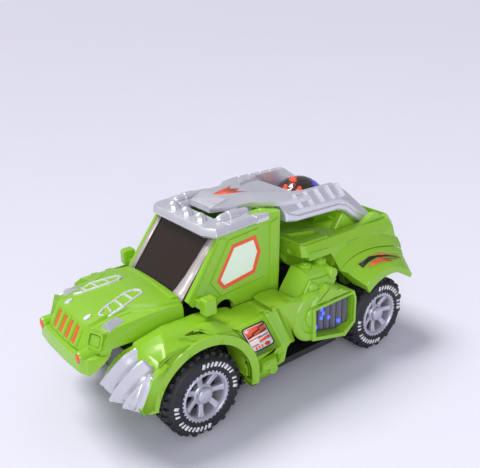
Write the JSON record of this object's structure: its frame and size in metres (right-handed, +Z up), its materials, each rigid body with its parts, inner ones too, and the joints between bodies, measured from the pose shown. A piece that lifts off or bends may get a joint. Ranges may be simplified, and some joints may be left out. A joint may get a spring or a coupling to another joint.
{
  "type": "transforming toy car",
  "caption": "Battery toy car that transforms: its rear body, neck and head rise out of the cab roof while the cab and thighs tilt.",
  "frame": {"origin": "on the ground, at the middle of the length and width", "axes": "+X to the front of the car, +Y to its left, +Z up"},
  "size_m": [0.193, 0.095, 0.0974],
  "materials": {
    "green": "gloss moulded plastic",
    "silver": "satin silver paint",
    "chrome_rim": "bright silver paint",
    "tyre": "matt rubber",
    "black": "matt moulded plastic",
    "grey_plastic": "matt moulded plastic",
    "smoke": "smoked clear plastic",
    "mint": "printed panel",
    "orange": "gloss plastic",
    "steel": "plain",
    "brass": "plain",
    "board": "solder mask",
    "cell": "printed wrapper",
    "white_plastic": "matt moulded plastic",
    "led": "clear tinted lens"
  },
  "bodies": {
    "chassis": {"chassis_tray": "black", "chassis_lid": "black", "lid_screws": "steel", "battery_door": "black", "battery_door_screw": "steel", "batteries": "cell", "battery_contacts": "steel", "circuit_board": "board", "speaker": "black", "switch_case": "black", "swivel_ring": "black", "gearbox_case": "black", "lift_motor": "steel", "body_hinge_pin": "steel", "cab_hinge_pin": "steel", "left_knee_pin": "steel", "right_knee_pin": "steel", "left_fender": "green", "right_fender": "green", "left_claws": "silver", "right_claws": "silver"},
    "front_wheels": {"front_axle": "steel", "front_left_rim": "chrome_rim", "front_right_rim": "chrome_rim", "front_left_tyre": "tyre", "front_right_tyre": "tyre"},
    "rear_wheels": {"rear_axle": "steel", "rear_left_rim": "chrome_rim", "rear_right_rim": "chrome_rim", "rear_left_tyre": "tyre", "rear_right_tyre": "tyre"},
    "swivel": {"swivel_plate": "black", "drive_motor": "steel"},
    "drive_wheels": {"drive_shaft": "steel", "drive_left_wheel": "tyre", "drive_right_wheel": "tyre"},
    "power_switch": {"power_switch_knob": "black"},
    "pinion": {"lift_pinion": "white_plastic"},
    "rear_body": {"rear_tub": "green", "left_rear_fender": "green", "right_rear_fender": "green", "lift_sector": "white_plastic"},
    "spine": {"spine_frame": "silver", "dome": "smoke", "dome_lights": "led"},
    "head": {"head": "green"},
    "jaw": {"jaw": "green"},
    "front_body": {"hood": "green", "front_lights": "orange", "cab_shell": "green", "windshield": "smoke", "left_window": "mint", "right_window": "mint", "roof_visor": "silver"},
    "left_thigh": {"left_thigh": "green", "left_pod_lens": "smoke"},
    "right_thigh": {"right_thigh": "green", "right_pod_lens": "smoke"}
  },
  "joints": [
    {"name": "front_wheels_spin", "type": "hinge", "parent": "chassis", "child": "front_wheels", "pos_m": [0.048, 0, 0.021], "axis": [0, 1, 0], "continuous": true},
    {"name": "rear_wheels_spin", "type": "hinge", "parent": "chassis", "child": "rear_wheels", "pos_m": [-0.07, 0, 0.021], "axis": [0, 1, 0], "continuous": true},
    {"name": "swivel_turn", "type": "hinge", "parent": "chassis", "child": "swivel", "pos_m": [0.012, 0, 0.009], "axis": [0, 0, 1], "continuous": true},
    {"name": "drive_wheels_spin", "type": "hinge", "parent": "swivel", "child": "drive_wheels", "pos_m": [0.012, 0, 0.01], "axis": [0, 1, 0], "continuous": true},
    {"name": "power_switch_slide", "type": "slide", "parent": "chassis", "child": "power_switch", "axis": [1, 0, 0], "range_m": [0, 0.003]},
    {"name": "body_rise", "type": "hinge", "parent": "chassis", "child": "rear_body", "pos_m": [-0.07, 0, 0.035], "axis": [0, -1, 0], "range_deg": [0, 24]},
    {"name": "pinion_turn", "type": "hinge", "parent": "chassis", "child": "pinion", "pos_m": [-0.04304, 0, 0.04815], "axis": [0, -1, 0], "range_deg": [-97, 0]},
    {"name": "neck_raise", "type": "hinge", "parent": "rear_body", "child": "spine", "pos_m": [-0.0825, 0, 0.0675], "axis": [0, -1, 0], "range_deg": [0, 24.5]},
    {"name": "head_tilt", "type": "hinge", "parent": "spine", "child": "head", "pos_m": [-0.0065, 0, 0.082], "axis": [0, 1, 0], "range_deg": [0, 36.5]},
    {"name": "jaw_open", "type": "hinge", "parent": "head", "child": "jaw", "pos_m": [-0.0055, 0, 0.0695], "axis": [0, 1, 0], "range_deg": [0, 18.5]},
    {"name": "cab_tilt", "type": "hinge", "parent": "chassis", "child": "front_body", "pos_m": [-0.01, 0, 0.045], "axis": [0, -1, 0], "range_deg": [0, 9.7]},
    {"name": "left_knee", "type": "hinge", "parent": "chassis", "child": "left_thigh", "pos_m": [-0.019, 0.037, 0.0385], "axis": [0, 1, 0], "range_deg": [0, 10.9]},
    {"name": "right_knee", "type": "hinge", "parent": "chassis", "child": "right_thigh", "pos_m": [-0.019, -0.037, 0.0385], "axis": [0, 1, 0], "range_deg": [0, 10.9]}
  ],
  "couplings": [
    {"joint": "pinion_turn", "follows": "body_rise", "ratio": -4},
    {"joint": "neck_raise", "follows": "body_rise", "ratio": 1},
    {"joint": "head_tilt", "follows": "body_rise", "ratio": 1.5},
    {"joint": "jaw_open", "follows": "body_rise", "ratio": 0.75},
    {"joint": "cab_tilt", "follows": "body_rise", "ratio": 0.4},
    {"joint": "left_knee", "follows": "body_rise", "ratio": 0.45},
    {"joint": "right_knee", "follows": "body_rise", "ratio": 0.45}
  ]
}
